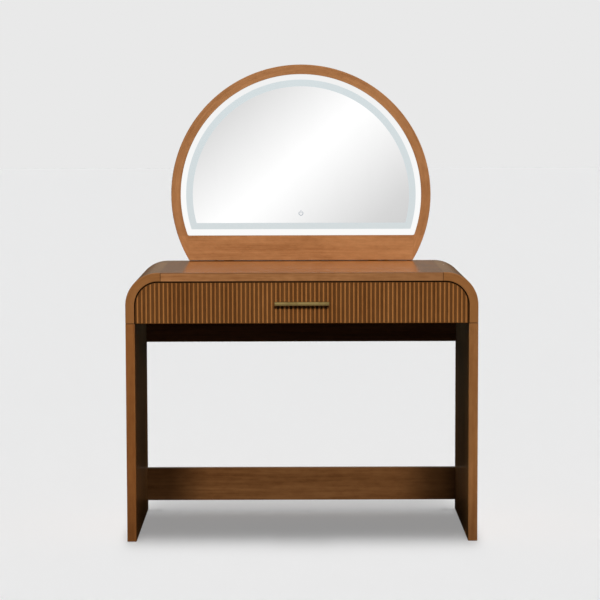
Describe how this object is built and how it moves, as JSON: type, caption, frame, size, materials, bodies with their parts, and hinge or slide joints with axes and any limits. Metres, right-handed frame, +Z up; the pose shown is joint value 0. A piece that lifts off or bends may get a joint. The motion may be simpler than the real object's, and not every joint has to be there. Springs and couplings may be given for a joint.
{
  "type": "dressing table with lit mirror",
  "caption": "Walnut-brown dressing table with curved top corners, a ribbed drawer on ball runners, and a round mirror cut flat at its foot with a frosted light band.",
  "frame": {"origin": "on the floor, under the middle of the whole object", "axes": "+X to the right seen from the front, -Y out of the front where the drawer opens, +Z up"},
  "size_m": [1, 0.532, 1.365],
  "materials": {
    "walnut_veneer": "satin lacquered walnut-brown veneer",
    "drawer_board": "matt wood-look foil on board",
    "hardboard": "smooth hardboard",
    "aged_brass": "brushed antique brass",
    "black_steel": "black electro-coated steel",
    "zinc_plate": "bright zinc plate",
    "screw_steel": "zinc-plated",
    "cast_zinc": "as-cast zinc",
    "beech_dowel": "raw beech",
    "silvered_mirror": "polished, with a sandblasted light band",
    "foam_tape": "white acrylic foam",
    "strip_film": "white flexible circuit",
    "led_resin": "phosphor resin",
    "circuit_board": "solder-masked board",
    "black_plastic": "fine matt",
    "nickel": "nickel plate",
    "lead_sheath": "white flat lead"
  },
  "bodies": {
    "carcass": {"back_panel_screws": "screw_steel", "bracket_screws": "screw_steel", "cam_bolts": "screw_steel", "cam_locks": "cast_zinc", "carcass_runner_screws": "screw_steel", "dimmer_module": "black_plastic", "inlet_nut": "nickel", "inlet_pin": "nickel", "inner_leads": "lead_sheath", "led_packages": "led_resin", "led_strip": "strip_film", "left_runner_outer": "black_steel", "left_side_panel": "walnut_veneer", "left_top_corner": "walnut_veneer", "lower_stretcher": "walnut_veneer", "mirror_back_panel": "hardboard", "mirror_brackets": "zinc_plate", "mirror_frame": "walnut_veneer", "mirror_glass": "silvered_mirror", "mirror_tape": "foam_tape", "power_inlet": "black_plastic", "rear_apron": "walnut_veneer", "right_runner_outer": "black_steel", "right_side_panel": "walnut_veneer", "right_top_corner": "walnut_veneer", "top_board": "walnut_veneer", "touch_sensor": "circuit_board", "wood_dowels": "beech_dowel"},
    "drawer": {"drawer_back": "drawer_board", "drawer_bottom": "hardboard", "drawer_box_screws": "screw_steel", "drawer_front": "walnut_veneer", "drawer_front_screws": "screw_steel", "drawer_inner_front": "drawer_board", "drawer_left_side": "drawer_board", "drawer_right_side": "drawer_board", "drawer_runner_screws": "screw_steel", "handle_bar": "aged_brass", "handle_posts": "aged_brass", "handle_screws": "screw_steel", "left_runner_inner": "black_steel", "right_runner_inner": "black_steel"},
    "left_runner": {"left_runner_middle": "black_steel"},
    "right_runner": {"right_runner_middle": "black_steel"}
  },
  "joints": [
    {"name": "drawer_slide", "type": "slide", "parent": "carcass", "child": "drawer", "axis": [0, -1, 0], "range_m": [0, 0.38]},
    {"name": "left_runner_slide", "type": "slide", "parent": "carcass", "child": "left_runner", "axis": [0, -1, 0], "range_m": [0, 0.19]},
    {"name": "right_runner_slide", "type": "slide", "parent": "carcass", "child": "right_runner", "axis": [0, -1, 0], "range_m": [0, 0.19]}
  ],
  "couplings": [
    {"joint": "left_runner_slide", "follows": "drawer_slide", "ratio": 0.5},
    {"joint": "right_runner_slide", "follows": "drawer_slide", "ratio": 0.5}
  ]
}
